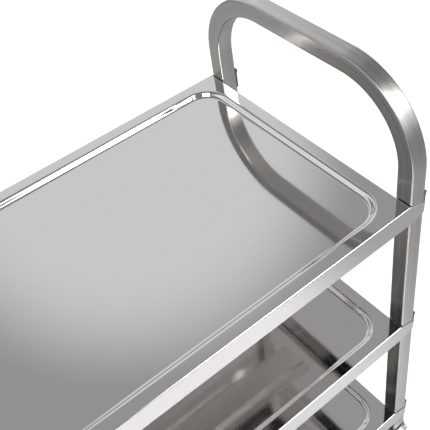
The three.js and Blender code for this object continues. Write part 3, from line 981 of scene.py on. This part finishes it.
@dataclass
class Tray:
    """A pressed tray with a folded flange, an ear at each corner and a stiffener under it."""

    half_length: float = 323.5 * MM
    half_width: float = 202.5 * MM
    rims: tuple[float, float, float] = RIMS
    sheet: float = 1.2 * MM
    rim_width: float = 16 * MM
    recess_corner: float = 43 * MM
    step_width: float = 12 * MM
    step_depth: float = 7 * MM
    step_cuts: int = 20
    step_ease: float = 0.09  # how much steeper the step's middle is than a plain wave
    corner_steps: int = 16
    fold: float = 1.7 * MM
    fold_steps: int = 6
    fold_corner: float = 0.6 * MM
    flange: float = 33 * MM
    hem_radius: float = 1.35 * MM
    hem_steps: int = 8
    hem_return: float = 7 * MM
    ear_start: float = 322.6 * MM
    ear_shoulder: float = 327 * MM
    ear_tip: float = 349 * MM
    ear_cut: float = 7 * MM
    stiffener_length: float = 560 * MM
    stiffener_crown: float = 36.4 * MM
    stiffener_lean: float = 3 * MM
    stiffener_brim: float = 12.8 * MM
    stiffener_height: float = 13 * MM
    stiffener_drop: float = 8.5 * MM
    nut_drop: float = SCREW_DROP
    nut_y: float = LEG_Y

    def step_rings(self) -> list[tuple[float, float]]:
        """The pressed step as (inset, height) from the rim to the floor."""
        rings = []
        for cut in range(self.step_cuts + 1):
            across_step = cut / self.step_cuts
            wave = across_step - self.step_ease * math.sin(2 * math.pi * across_step)
            height = -self.step_depth * (1 - math.cos(math.pi * wave)) / 2
            rings.append((across_step * self.step_width, height))
        return rings

    def pressing(self) -> Bench:
        """Presses the recess, folds the flange and turns its edge under."""
        length = 2 * (self.half_length - self.rim_width)
        width = 2 * (self.half_width - self.rim_width)
        tray = Bench.panel("tray", (0, 0, 0), length, width)
        tray.edit()
        bpy.ops.mesh.select_all(action="SELECT")
        tray.round_corners(self.recess_corner, self.corner_steps)
        bpy.ops.mesh.select_all(action="SELECT")
        rings = self.step_rings()
        for (inset, height), (next_inset, next_height) in zip(rings, rings[1:]):
            tray.inset(next_inset - inset, next_height - height)
        self._add_rim(tray)
        self._fold_flange(tray)
        tray.face_outwards()
        mesh = bmesh.from_edit_mesh(tray.obj.data)
        floor = max(mesh.faces, key=lambda face: face.calc_area())
        if floor.normal.z < 0:
            bpy.ops.mesh.flip_normals()
        tray.leave()
        return tray.thicken(self.sheet)

    def _add_rim(self, tray: Bench) -> None:
        """Adds the flat rim between the recess and the fold.

        Args:
            tray: The recess, in edit mode.
        """
        length, width = self.half_length - self.fold, self.half_width - self.fold
        below = -2 * self.rim_width  # the bridge finds its way round only between loops at two heights
        bpy.ops.mesh.primitive_plane_add(size=2.0, location=(0, 0, below))
        tray.resize((length, width, 1), (0, 0, below))
        tray.round_corners(self.fold_corner, self.corner_steps)
        tray.pick_faces(lambda face: abs(face.calc_center_median().z - below) < TOUCH)
        bpy.ops.mesh.delete(type="ONLY_FACE")
        tray.pick_edges(lambda edge: len(edge.link_faces) < 2)
        bpy.ops.mesh.bridge_edge_loops()
        tray.pick_verts(lambda vert: abs(vert.co.z - below) < TOUCH)
        tray.move((0, 0, -below))

    def _fold_flange(self, tray: Bench) -> None:
        """Folds the rim down into the flange and hems it, ring by ring.

        Args:
            tray: The recess and rim, in edit mode.
        """
        tray.pick_edges(lambda edge: edge.is_boundary)
        reach, height = self.fold, 0.0
        for inset, next_height in self._flange_rings():
            tray.extrude((0, 0, next_height - height))
            scale = (
                (self.half_length - inset) / (self.half_length - reach),
                (self.half_width - inset) / (self.half_width - reach),
                1,
            )
            tray.resize(scale, (0, 0, next_height))
            reach, height = inset, next_height

    def _flange_rings(self) -> list[tuple[float, float]]:
        """The fold, the flange and the hem as (inset, height)."""
        quarter = [math.pi / 2 * (i + 1) / self.fold_steps for i in range(self.fold_steps)]
        rings = [(self.fold * (1 - math.sin(a)), -self.fold * (1 - math.cos(a))) for a in quarter]
        centre = self.hem_radius - self.flange
        half = [math.pi * i / self.hem_steps for i in range(self.hem_steps + 1)]
        radius = self.hem_radius
        rings += [(radius * (1 - math.cos(a)), centre - radius * math.sin(a)) for a in half]
        return rings + [(2 * radius, centre + self.hem_return)]

    def ear(self) -> Bench:
        """The plate that carries a long flange on over the leg, and narrows to its tip."""
        top, foot = -self.fold, -self.flange
        points = (
            (self.ear_start, top),
            (self.ear_shoulder, top),
            (self.ear_tip, top - self.ear_cut),
            (self.ear_tip, foot + self.ear_cut),
            (self.ear_shoulder, foot),
            (self.ear_start, foot),
        )
        ear = Bench.bar("ear", points, self.sheet)
        ear.edit()
        tip = self.ear_tip
        ear.pick_edges(lambda edge: all(abs(v.co.x - tip) < TOUCH for v in edge.verts)
                       and abs(edge.verts[0].co.y - edge.verts[1].co.y) > MM)
        ear.round_edges(2 * MM, 4).leave()
        ear.soften(0.3 * MM, 3)
        return ear.moved(Matrix.Translation((0, self.half_width - self.sheet / 2, 0)))

    def stiffener(self) -> Bench:
        """The hat section under the floor, with its brims welded to the tray."""
        half = self.stiffener_crown / 2
        hat = Bench.panel("hat", (0, 0, -self.stiffener_height), self.stiffener_length, 2 * half)
        hat.edit()
        wall = self.stiffener_height - self.sheet
        for side in Side:
            hat.pick_edges(lambda edge: all(abs(v.co.y - side.value * half) < TOUCH for v in edge.verts))
            hat.extrude((0, side.value * self.stiffener_lean, wall))
            hat.extrude((0, side.value * self.stiffener_brim, 0))
        hat.pick_edges(lambda edge: len(edge.link_faces) == 2)
        hat.round_edges(1.6 * MM, 4)
        bpy.ops.mesh.select_all(action="SELECT")
        bpy.ops.mesh.normals_make_consistent(inside=False)
        mesh = bmesh.from_edit_mesh(hat.obj.data)
        if max(mesh.faces, key=lambda face: face.calc_area()).normal.z > 0:
            bpy.ops.mesh.flip_normals()
        hat.leave()
        return hat.thicken(self.sheet).soften(0.3 * MM, 2, 60.0).smooth()

    def weld_nut(self) -> Bench:
        """A hexagon nut inside the end flange, its axis along X."""
        bore, rim, thick = 3.1 * MM, 5.75 * MM, 5 * MM
        profile = ((bore, 0), (rim, 0), (rim, thick), (bore, thick))
        nut = Bench.turned("nut", profile, 6, closed=True).soften(0.4 * MM, 2)
        inner = self.half_length - self.sheet - thick - 0.05 * MM
        return nut.smooth().moved(Matrix.Translation((0, self.nut_y, -self.nut_drop)) @ lengthwise(inner))

    def build(self, shop: Workshop, finishes: Finishes) -> None:
        """Makes the tray, its stiffener and its weld nuts once, and sets them at every height.

        Args:
            shop: Dresses each piece and hands it over.
            finishes: What the pieces are made of.
        """
        mirrors = [Matrix.Diagonal((end.value, side.value, 1, 1)) for end in End for side in Side]
        ear = self.ear()
        tray = self.pressing()
        tray.add(*(ear.copy("ear", mirror) for mirror in mirrors)).smooth()
        nut = self.weld_nut()
        nuts = nut.copy("nuts", mirrors[0])
        nuts.add(*(nut.copy("nut", mirror) for mirror in mirrors[1:]))
        hat = self.stiffener()
        for shelf, rim in zip(SHELVES, self.rims):
            lift = Matrix.Translation((0, 0, rim))
            piece = tray.copy(f"pressed_tray.{shelf}", lift)
            shop.deliver(
                piece, finishes.tray, "root", "tray_sheet", f"{shelf}_shelf", under=finishes.underside
            )
            under = Matrix.Translation((0, 0, rim - self.stiffener_drop))
            piece = hat.copy(f"hat_section.{shelf}", under)
            shop.deliver(piece, finishes.strip, "root", "stamped_steel", f"{shelf}_shelf_stiffener")
            shop.deliver(nuts.copy(f"weld_nuts.{shelf}", lift), finishes.screw, "root", "screw_steel")
        for master in (ear, tray, nut, nuts, hat):
            master.scrap()


# ---- the corner clamps ----


@dataclass
class CornerClamp:
    """A plate with a flared lip and a button-head screw, drawn with x = 0 on the leg's outer face."""

    leg_face: float = LEG_X + TUBE / 2
    leg_y: float = LEG_Y
    rims: tuple[float, float, float] = RIMS
    plate: float = 2 * MM
    width: float = 24 * MM
    drop: float = 27 * MM
    lip: float = 6 * MM
    flare: float = 2.2 * MM
    screw_drop: float = SCREW_DROP
    screw_radius: float = 3 * MM
    head_radius: float = 5.6 * MM
    head_height: float = 2.9 * MM
    reach: float = 35.9 * MM
    socket: float = 2.3 * MM
    socket_depth: float = 1.9 * MM
    pitch: float = 1.0 * MM

    def clamp_plate(self) -> Bench:
        """The stamped plate, its lip leaning out at the top."""
        near, far = GAP, GAP + self.plate
        points = (
            (near, -self.drop), (far, -self.drop), (far, 0), (far + self.flare, self.lip),
            (near + self.flare, self.lip), (near, 0),
        )
        plate = Bench.bar("plate", points, self.width)
        plate.edit()
        plate.pick_edges(lambda edge: abs(edge.verts[0].co.x - edge.verts[1].co.x) > MM
                         and all(v.co.z < -self.drop + TOUCH for v in edge.verts))
        plate.round_edges(4 * MM, 5)
        plate.pick_edges(lambda edge: edge.calc_length() > self.width - MM
                         and all(abs(v.co.z) < TOUCH for v in edge.verts))
        plate.round_edges(2 * MM, 4).leave()
        return plate.soften(0.3 * MM, 2).smooth()

    def screw(self) -> Bench:
        """The button-head screw with its thread and hexagon socket."""
        seat = 2 * GAP + self.plate
        tip = -self.reach
        core = self.screw_radius - 0.45 * MM
        profile = [(core - 0.4 * MM, tip)]
        height = tip + 0.5 * MM
        while height < tip + 12 * MM:
            profile += [(core, height), (self.screw_radius, height + self.pitch / 2)]
            height += self.pitch
        head = seat + self.head_height
        dome = [math.pi / 2 * i / 6 for i in range(6)]
        crown, skirt = 0.62 * self.head_radius, 0.8 * MM
        shoulder, rise = self.head_radius - crown, self.head_height - skirt
        profile += [(self.screw_radius, height), (self.screw_radius, seat), (self.head_radius, seat)]
        profile += [(crown + shoulder * math.cos(a), seat + skirt + rise * math.sin(a)) for a in dome]
        profile.append((crown, head))
        screw = Bench.turned("screw", profile, 24)
        key = ((self.socket, head - self.socket_depth), (self.socket, head + MM))
        return screw.cut(Bench.turned("key", key, 6)).smooth()

    def build(self, shop: Workshop, finishes: Finishes) -> None:
        """Sets a plate and a screw at every corner of every shelf.

        Args:
            shop: Dresses each piece and hands it over.
            finishes: What the pieces are made of.
        """
        plate, screw = self.clamp_plate(), self.screw().moved(lengthwise())
        for shelf, rim in zip(SHELVES, self.rims):
            for end in End:
                for side in Side:
                    corner = f"{shelf}_{end.name.lower()}_{side.name.lower()}"
                    mirror = Matrix.Diagonal((end.value, 1, 1, 1))
                    shift = Matrix.Translation((end.value * self.leg_face, side.value * self.leg_y, rim))
                    piece = plate.copy(f"flared_plate.{corner}", shift @ mirror)
                    shop.deliver(piece, finishes.stamping, "root", "stamped_steel", f"{corner}_clamp_plate")
                    drop = Matrix.Translation((0, 0, -self.screw_drop))
                    piece = screw.copy(f"button_screw.{corner}", shift @ drop @ mirror)
                    shop.deliver(piece, finishes.screw, "root", "screw_steel", f"{corner}_clamp_screw")
        plate.scrap()
        screw.scrap()


# ---- the casters ----


def arc(centre: Point, radius: float, start: float, stop: float, steps: int) -> list[tuple[float, float]]:
    """Draws an arc as points.

    Args:
        centre: Its centre.
        radius: Its radius.
        start: The angle of its first point.
        stop: The angle of its last point.
        steps: How many lengths it is cut into.

    Returns:
        The points, both ends among them.
    """
    turns = [start + (stop - start) * i / steps for i in range(steps + 1)]
    return [(centre[0] + radius * math.cos(a), centre[1] + radius * math.sin(a)) for a in turns]


@dataclass
class Caster:
    """A swivel caster about its swivel axis, its wheel trailing to -X, with the plug that holds it."""

    leg_x: float = LEG_X
    leg_y: float = LEG_Y
    foot: float = FOOT
    tube: float = TUBE
    tube_corner: float = TUBE_CORNER
    tube_wall: float = TUBE_WALL
    plug_flange: float = 2.6 * MM
    plug_depth: float = 24 * MM
    stem_radius: float = 6 * MM
    stem_top: float = 152 * MM
    cap_radius: float = 19.6 * MM
    race_top: float = 114.6 * MM
    crown: float = 107.6 * MM
    fork_sheet: float = 2.6 * MM
    fork_inner: float = 15.4 * MM
    fork_front: float = 17 * MM
    trail: float = 34 * MM
    wheel_radius: float = 50 * MM
    eye: float = 11 * MM
    pin_x: float = -64 * MM
    pin_z: float = 97 * MM
    lug: float = 7 * MM
    wheel_sides: int = 72

    def plug(self) -> Bench:
        """The plastic plug: a flange under the tube's end, and a body inside it."""
        low, high = self.foot - self.plug_flange, self.foot - GAP
        plug = Bench.panel("plug", (0, 0, low), self.tube, self.tube)
        plug.edit()
        bpy.ops.mesh.select_all(action="SELECT")
        plug.round_corners(self.tube_corner, 5)
        bpy.ops.mesh.select_all(action="SELECT")
        plug.extrude((0, 0, high - low))
        plug.inset(self.tube_wall + GAP)
        plug.extrude((0, 0, self.plug_depth))
        plug.face_outwards().leave()
        return plug.soften(0.4 * MM, 3, 60.0).smooth()

    def stem(self) -> Bench:
        """The still half of the swivel: kingpin, race cap, collar and threaded stem."""
        gap, top = GAP, self.race_top
        collar = self.foot - self.plug_flange - gap
        cap = self.cap_radius
        profile = [
            (6.4 * MM, self.crown - 3.4 * MM), (7.4 * MM, self.crown - 3 * MM), (8 * MM, self.crown - 2 * MM),
            (8 * MM, self.crown - 0.4 * MM), (5 * MM, self.crown - 0.4 * MM), (5 * MM, top + gap),
            (cap - 0.5 * MM, top + gap), (cap, top + 0.8 * MM), (cap, top + 2.2 * MM),
            (cap - 0.5 * MM, top + 3 * MM), (cap - 4.5 * MM, top + 4.5 * MM),
            (cap - 5.5 * MM, top + 4.6 * MM), (10 * MM, top + 4.6 * MM),
            (10 * MM, collar - 0.6 * MM), (9.4 * MM, collar), (self.stem_radius, collar),
        ]
        height = self.foot
        while height < self.stem_top - 3 * MM:
            profile += [(self.stem_radius, height), (self.stem_radius - 0.7 * MM, height + 0.8 * MM)]
            height += 1.6 * MM
        profile += [(self.stem_radius, height), (self.stem_radius - 1.2 * MM, self.stem_top)]
        return Bench.turned("stem", profile, 48).smooth()

    def cheek_outline(self, braked: bool) -> list[tuple[float, float]]:
        """The fork's side view as (x, z), from the crown's front round the axle to its back.

        Args:
            braked: Whether the fork has lugs for a pedal.

        Returns:
            The outline's points.
        """
        top = self.crown + self.fork_sheet
        front = self.fork_front
        points = [(front, top), (front, self.crown - 6 * MM)]
        points += arc((-self.trail, self.wheel_radius), self.eye, -0.3, -math.pi, 20)
        if braked:
            points += arc((self.pin_x, self.pin_z), self.lug, math.pi, math.pi / 2, 6)
            points.append((-36 * MM, self.crown - 1.5 * MM))
        else:
            points.append((-34 * MM, self.crown - 8 * MM))
        return points + [(-30 * MM, top)]

    def fork(self, braked: bool) -> Bench:
        """Folds the fork from sheet and sets the ball race on its crown.

        Args:
            braked: Whether the fork has lugs for a pedal.

        Returns:
            The fork.
        """
        width = 2 * (self.fork_inner + self.fork_sheet)
        top = self.crown + self.fork_sheet
        fork = Bench.outline("fork", self.cheek_outline(braked), -width / 2)
        fork.extrude((0, width, 0))
        fork.face_outwards()
        fork.pick_faces(lambda f: abs(f.normal.y) < 0.9 and f.calc_center_median().z < top - TOUCH)
        bpy.ops.mesh.delete(type="ONLY_FACE")
        fork.pick_edges(lambda edge: len(edge.link_faces) == 0)
        bpy.ops.mesh.delete(type="EDGE")
        fork.pick_edges(lambda edge: len(edge.link_faces) == 2)
        fork.round_edges(4 * MM, 6).leave()
        fork.thicken(self.fork_sheet).soften(0.5 * MM, 2, 50.0)
        rim = self.cap_radius + 0.8 * MM
        low, high, groove = self.crown + 0.2 * MM, self.race_top, rim - 0.7 * MM
        profile = (
            (7 * MM, low), (19 * MM, low), (rim, low + 3 * MM), (rim, high - 1.6 * MM),
            (groove, high - 1.2 * MM), (groove, high - 0.3 * MM), (rim - 1.2 * MM, high), (7 * MM, high),
        )
        return fork.add(Bench.turned("race", profile, 48, closed=True)).smooth(40.0)

    def axle(self) -> Bench:
        """The hexagon bolt with its washers and locking nut, through the fork and the hub."""
        shoulder = self.fork_inner + self.fork_sheet + GAP
        end = shoulder + 7 * MM
        thick = 1.2 * MM  # the washer
        rod = ((3.4 * MM, -shoulder - MM), (4 * MM, -shoulder), (4 * MM, end - 2 * MM), (3.2 * MM, end - MM))
        shank = Bench.turned("axle", rod, 24)
        disc = ((3.6 * MM, 0), (7.5 * MM, 0), (7.5 * MM, thick), (3.6 * MM, thick))
        washer = Bench.turned("washer", disc, 32)
        head = Bench.turned("head", ((7.4 * MM, 0), (7.4 * MM, 3.3 * MM), (6.4 * MM, 3.8 * MM)), 6)
        nut = Bench.turned("nut", ((7.4 * MM, 0), (7.4 * MM, 4 * MM)), 6).soften(0.4 * MM, 2)
        dome = Bench.turned("dome", ((6 * MM, 4 * MM), (5.8 * MM, 5 * MM), (4.6 * MM, 5.7 * MM)), 32)
        under = Matrix.Translation((0, 0, -shoulder)) @ Matrix.Rotation(math.pi, 4, "X")
        over = Matrix.Translation((0, 0, shoulder))
        lift = Matrix.Translation((0, 0, thick))
        washers = (washer.copy("washer", under), washer.moved(over))
        shank.add(*washers, head.moved(under @ lift), nut.moved(over @ lift), dome.moved(over @ lift))
        return shank.soften(0.25 * MM, 2, 50.0).smooth().moved(across(-self.trail, self.wheel_radius))

    def hub(self) -> Bench:
        """The ribbed hub."""
        half = (
            (4.3, 14.5), (10.4, 14.5), (11, 13.9), (13, 6), (14, 5), (30, 5), (31, 6), (31.6, 11.6), (32, 12),
            (35.6, 12), (36, 11.6),
        )
        profile = [(r * MM, -z * MM) for r, z in half] + [(r * MM, z * MM) for r, z in reversed(half)]
        hub = Bench.turned("hub", profile, self.wheel_sides, closed=True)
        rib = Bench.block("rib", (11.4 * MM, -1.2 * MM, -9.5 * MM), (31.6 * MM, 1.2 * MM, 9.5 * MM))
        rib.soften(0.5 * MM, 3)
        hub.add(*(rib.copy("rib", Matrix.Rotation(math.radians(45 * i), 4, "Z")) for i in range(8)))
        rib.scrap()
        return hub.smooth().moved(across(-self.trail, self.wheel_radius))

    def tyre(self) -> Bench:
        """The moulded tyre, with a crowned tread, a parting line and a groove in each wall."""
        half = (
            (36.4, 12.4), (37.2, 12.9), (41, 13), (41.4, 12.6), (42.2, 12.6), (42.6, 12.95), (45.4, 12.7),
            (47.4, 11.6), (48.8, 9.6), (49.5, 6.5), (49.75, 3.2), (49.85, 0.5), (50.0, 0.35),
        )
        profile = [(r * MM, -z * MM) for r, z in half] + [(r * MM, z * MM) for r, z in reversed(half)]
        tyre = Bench.turned("tyre", profile, self.wheel_sides, closed=True)
        return tyre.smooth(50.0).moved(across(-self.trail, self.wheel_radius))

    def pedal(self) -> Bench:
        """The brake pedal: a lever on the pin with a ribbed tread behind and a nose over the tyre."""
        outline = (
            (5.5, 2), (4.6, 4.3), (2, 6), (-10, 6), (-33, 10), (-38, 9.6), (-40, 8), (-41, 5), (-38.5, 4.6),
            (-34, 6), (-13, 1), (-13, -9), (-10, -11), (-4, -7), (3, -3.5), (5, -1),
        )
        pedal = Bench.bar("pedal", [(x * MM, z * MM) for x, z in outline], 26 * MM).soften(0.7 * MM, 3, 40.0)
        slope = math.atan2(4, -23)
        for i in range(6):
            rib = Bench.block("rib", (-0.7 * MM, -10.5 * MM, -0.5 * MM), (0.7 * MM, 10.5 * MM, 0.75 * MM))
            rib.soften(0.35 * MM, 2)
            along = 3.5 + 3.6 * i
            place = Matrix.Translation(((-10 - along) * MM, 0, (6 + along * 4 / 23) * MM))
            pedal.add(rib.moved(place @ Matrix.Rotation(math.pi - slope, 4, "Y")))
        return pedal.smooth(40.0).moved(Matrix.Translation((self.pin_x, 0, self.pin_z)))

    def pedal_pin(self) -> Bench:
        """The riveted pin that the pedal turns on."""
        face = self.fork_inner + self.fork_sheet + GAP
        rivet = ((2.5, 0), (4.2, 0), (4.2, 0.4), (3.9, 0.9), (3.1, 1.35), (1.8, 1.6))
        head = [(r * MM, face + z * MM) for r, z in rivet]
        profile = [(r, -z) for r, z in reversed(head)] + head
        return Bench.turned("pin", profile, 24).smooth(40.0).moved(across(self.pin_x, self.pin_z))

    def build(self, shop: Workshop, finishes: Finishes) -> None:
        """Makes each part of the caster once and sets it under every leg.

        Args:
            shop: Dresses each piece and hands it over.
            finishes: What the pieces are made of.
        """
        plug, stem, axle, hub, tyre = self.plug(), self.stem(), self.axle(), self.hub(), self.tyre()
        forks = {True: self.fork(True), False: self.fork(False)}
        pedal, pin = self.pedal(), self.pedal_pin()
        for end in End:
            turn = Matrix.Rotation(0 if end is End.PUSH else math.pi, 4, "Z")
            for side in Side:
                corner = f"{end.name.lower()}_{side.name.lower()}"
                place = Matrix.Translation((end.value * self.leg_x, side.value * self.leg_y, 0)) @ turn
                braked = end is End.PUSH
                rows = [
                    (plug, "plug", finishes.nylon, "root", "plug_plastic", "leg_plug"),
                    (stem, "stem", finishes.zinc, "root", "caster_zinc", "caster_stem"),
                    (forks[braked], "fork", finishes.zinc, f"{corner}_swivel", "caster_zinc", "caster_fork"),
                    (axle, "axle", finishes.screw, f"{corner}_swivel", "screw_steel", "axle_bolt"),
                    (hub, "hub", finishes.hub, f"{corner}_wheel", "hub_plastic", "wheel_hub"),
                    (tyre, "tyre", finishes.rubber, f"{corner}_wheel", "tyre_rubber", "wheel_tyre"),
                ]
                if braked:
                    rows += [
                        (pedal, "pedal", finishes.nylon, f"{corner}_pedal", "pedal_plastic", "brake_pedal"),
                        (pin, "pin", finishes.screw, f"{corner}_swivel", "screw_steel", "pedal_pin"),
                    ]
                for master, name, finish, body, slot, node in rows:
                    piece = master.copy(f"caster_{name}.{corner}", place)
                    shop.deliver(piece, finish, body, slot, f"{corner}_{node}")
        for master in (plug, stem, axle, hub, tyre, pedal, pin, *forks.values()):
            master.scrap()


# ---- the studio ----


@dataclass
class Studio:
    """A pale floor inside pale walls, a dim ceiling with one lit part, and two soft lamps."""

    floor_size: float = 60.0
    floor_colour: tuple[float, float, float] = (0.66, 0.66, 0.66)
    floor_glow: float = 0.75
    wall: float = 1.0
    wall_foot: float = 0.32
    wall_rise: tuple[float, float] = (0.04, 0.36)  # sines of the elevations between which the walls grow pale
    wall_top: tuple[float, float] = (0.44, 0.58)  # and between which they give way to the ceiling
    ceiling: float = 0.24
    pale_ceiling: float = 0.38
    lit_ceiling: float = 0.76
    lit_towards: tuple[float, float, float] = (0.30, 0.72, 0.63)
    pale_reach: tuple[float, float] = (0.78, 0.88)  # cosines of the angle from the lit part's middle
    lit_reach: tuple[float, float] = (0.95, 0.985)

    def build(self) -> None:
        """Lays the floor, hangs the lamps and sets the walls and ceiling."""
        self._floor()
        self._surroundings()
        self._lamp("key", (1.1, -1.8, 2.45), (0, 0, 0.6), (1.6, 1.2), 5.0, spread=60.0)
        self._lamp("fill", (-1.9, -1.7, 2.8), (0, 0, 0.5), (1.6, 1.6), 11.0, spread=90.0)
        self._lamp("pool", (-0.15, -0.85, 2.6), (-0.15, -0.85, 0), (1.35, 1.0), 3.8, spread=10.0)

    def _floor(self) -> None:
        """A wide pale floor, which looks lit from below and lights nothing itself."""
        floor = Bench.panel("studio_floor", (0, 0, 0), self.floor_size, self.floor_size)
        material = bpy.data.materials.new("Pale floor")
        material.use_nodes = True
        shader = next(n for n in material.node_tree.nodes if n.type == "BSDF_PRINCIPLED")
        shader.inputs["Base Color"].default_value = self.floor_colour + (1.0,)
        shader.inputs["Roughness"].default_value = 0.9
        shader.inputs["Specular IOR Level"].default_value = 0.1
        shader.inputs["Emission Color"].default_value = (1.0, 1.0, 1.0, 1.0)
        graph = Graph(material.node_tree)
        seen = graph.add("LightPath").outputs["Is Camera Ray"]
        graph.tree.links.new(graph.spread(seen, 0.0, self.floor_glow), shader.inputs["Emission Strength"])
        floor.obj.data.materials.append(material)

    def _surroundings(self) -> None:
        """Pale walls all round, and over them a dim ceiling that is lit in one part."""
        world = bpy.data.worlds.new("Studio room")
        bpy.context.scene.world = world
        world.use_nodes = True
        graph = Graph(world.node_tree)
        background = next(n for n in world.node_tree.nodes if n.type == "BACKGROUND")
        where = graph.add("TexCoord").outputs["Generated"]
        height = graph.add("SeparateXYZ", {0: where}).outputs[2]
        towards = Vector(self.lit_towards).normalized()
        facing = graph.add("VectorMath", {0: where, 1: towards}, operation="DOT_PRODUCT").outputs["Value"]
        pale = graph.spread(graph.step(facing, self.pale_reach), self.ceiling, self.pale_ceiling)
        lit = graph.step(facing, self.lit_reach)
        ceiling = graph.math("MULTIPLY_ADD", lit, self.lit_ceiling - self.pale_ceiling, pale)
        over = graph.step(height, self.wall_top)
        wall = graph.spread(graph.step(height, self.wall_rise), self.wall_foot, self.wall)
        level = graph.math("MULTIPLY_ADD", over, graph.math("SUBTRACT", ceiling, wall), wall)
        seen = graph.add("LightPath").outputs["Is Camera Ray"]
        graph.tree.links.new(graph.math("MAXIMUM", level, seen), background.inputs["Color"])
        background.inputs["Strength"].default_value = 1.0

    def _lamp(
        self, name: str, place: Point, target: Point, size: tuple[float, float], power: float,
        spread: float,
    ) -> None:
        """Hangs a rectangular lamp aimed at a point.

        Args:
            name: The lamp's name.
            place: Where it hangs.
            target: The point that it faces.
            size: Its length and width.
            power: Its power in watts.
            spread: How wide its beam opens, in degrees.
        """
        light = bpy.data.lights.new(name, "AREA")
        light.shape = "RECTANGLE"
        light.size, light.size_y = size
        light.energy = power
        light.spread = math.radians(spread)
        lamp = bpy.data.objects.new(name, light)
        lamp.location = place
        lamp.rotation_euler = (Vector(target) - Vector(place)).to_track_quat("-Z", "Y").to_euler()
        bpy.context.scene.collection.objects.link(lamp)


@dataclass
class Camera:
    """The view along the trays towards the handle, from above the near side."""

    place: tuple[float, float, float] = (-0.1873, -0.6110, 1.3578)
    heading: float = 54.84  # degrees from +X towards +Y
    tilt: float = 44.54  # degrees below level
    roll: float = 7.1
    lens: float = 62.6
    shift: tuple[float, float] = (-0.105, -0.044)

    def build(self) -> None:
        """Sets up the camera."""
        data = bpy.data.cameras.new("camera")
        data.lens = self.lens
        data.shift_x, data.shift_y = self.shift
        heading, tilt, roll = map(math.radians, (self.heading, self.tilt, self.roll))
        right = Vector((math.sin(heading), -math.cos(heading), 0))
        level = math.cos(tilt)
        ahead = Vector((math.cos(heading) * level, math.sin(heading) * level, -math.sin(tilt)))
        above = right.cross(ahead)
        turned_right = right * math.cos(roll) - above * math.sin(roll)
        turned_up = right * math.sin(roll) + above * math.cos(roll)
        camera = bpy.data.objects.new("camera", data)
        axes = Matrix((turned_right, turned_up, -ahead)).transposed()
        camera.matrix_world = Matrix.Translation(self.place) @ axes.to_4x4()
        bpy.context.scene.collection.objects.link(camera)
        bpy.context.scene.camera = camera


def main() -> None:
    """Builds the trolley piece by piece."""
    logging.basicConfig(level=logging.INFO, format="%(name)s: %(message)s")
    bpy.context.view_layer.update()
    shop, finishes = Workshop(), Finishes()
    Camera().build()
    Studio().build()
    for assembly in (EndFrame(), Tray(), CornerClamp(), Caster()):
        LOG.info("building %s", type(assembly).__name__)
        assembly.build(shop, finishes)
    bpy.context.scene.view_settings.view_transform = "Standard"


if __name__ == "__main__":
    main()
